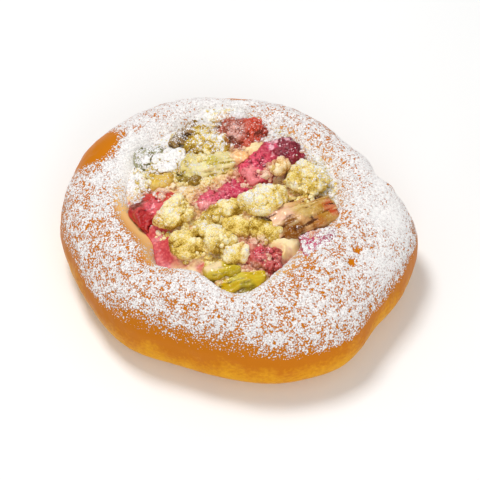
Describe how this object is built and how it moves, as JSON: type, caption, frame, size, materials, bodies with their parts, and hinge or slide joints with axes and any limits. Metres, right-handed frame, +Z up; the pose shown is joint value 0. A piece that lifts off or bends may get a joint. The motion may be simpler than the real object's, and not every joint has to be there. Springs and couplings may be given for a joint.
{
  "type": "sweet bun",
  "caption": "Round yeast bun with a raised rim and a sunken middle filled with pale curd, rhubarb chunks and crumble, dusted with icing sugar.",
  "frame": {"origin": "middle of the bounding box, on the flat base that the bun rests on", "axes": "+Z up, -Y towards the front that the picture shows nearest, +X to the right seen from the front"},
  "size_m": [0.1136, 0.105, 0.0367],
  "materials": {
    "crust": "baked egg-washed crust, satin",
    "curd": "moist set curd, stained pink by juice",
    "crumble": "dry butter crumble, coarse",
    "red_rhubarb": "wet cooked red stalk",
    "green_rhubarb": "wet cooked green stalk",
    "browned_rhubarb": "caramelised stalk, glossy",
    "icing_sugar": "fine dry powder"
  },
  "bodies": {
    "root": {"crumble_diagonal": "crumble", "crumble_block": "crumble", "crumble_middle": "crumble", "crumble_wing": "crumble", "crumble_tip": "crumble", "crumble_left": "crumble", "crumble_shoulder": "crumble", "crumble_low": "crumble", "crumble_green": "crumble", "crumble_right": "crumble", "crumble_back": "crumble", "crumble_far_left": "crumble", "crumble_crest": "crumble", "crumble_saddle": "crumble", "rhubarb_back": "red_rhubarb", "rhubarb_crimson": "red_rhubarb", "rhubarb_apricot": "browned_rhubarb", "rhubarb_caramel": "browned_rhubarb", "rhubarb_pale": "green_rhubarb", "rhubarb_middle": "red_rhubarb", "rhubarb_left": "red_rhubarb", "rhubarb_front": "red_rhubarb", "rhubarb_flap": "green_rhubarb", "rhubarb_green": "green_rhubarb", "rhubarb_olive": "green_rhubarb", "rhubarb_ochre": "green_rhubarb", "rhubarb_sunken": "green_rhubarb", "rhubarb_brown": "browned_rhubarb", "rhubarb_rim": "red_rhubarb", "curd": "curd", "dough": "crust"}
  },
  "joints": []
}
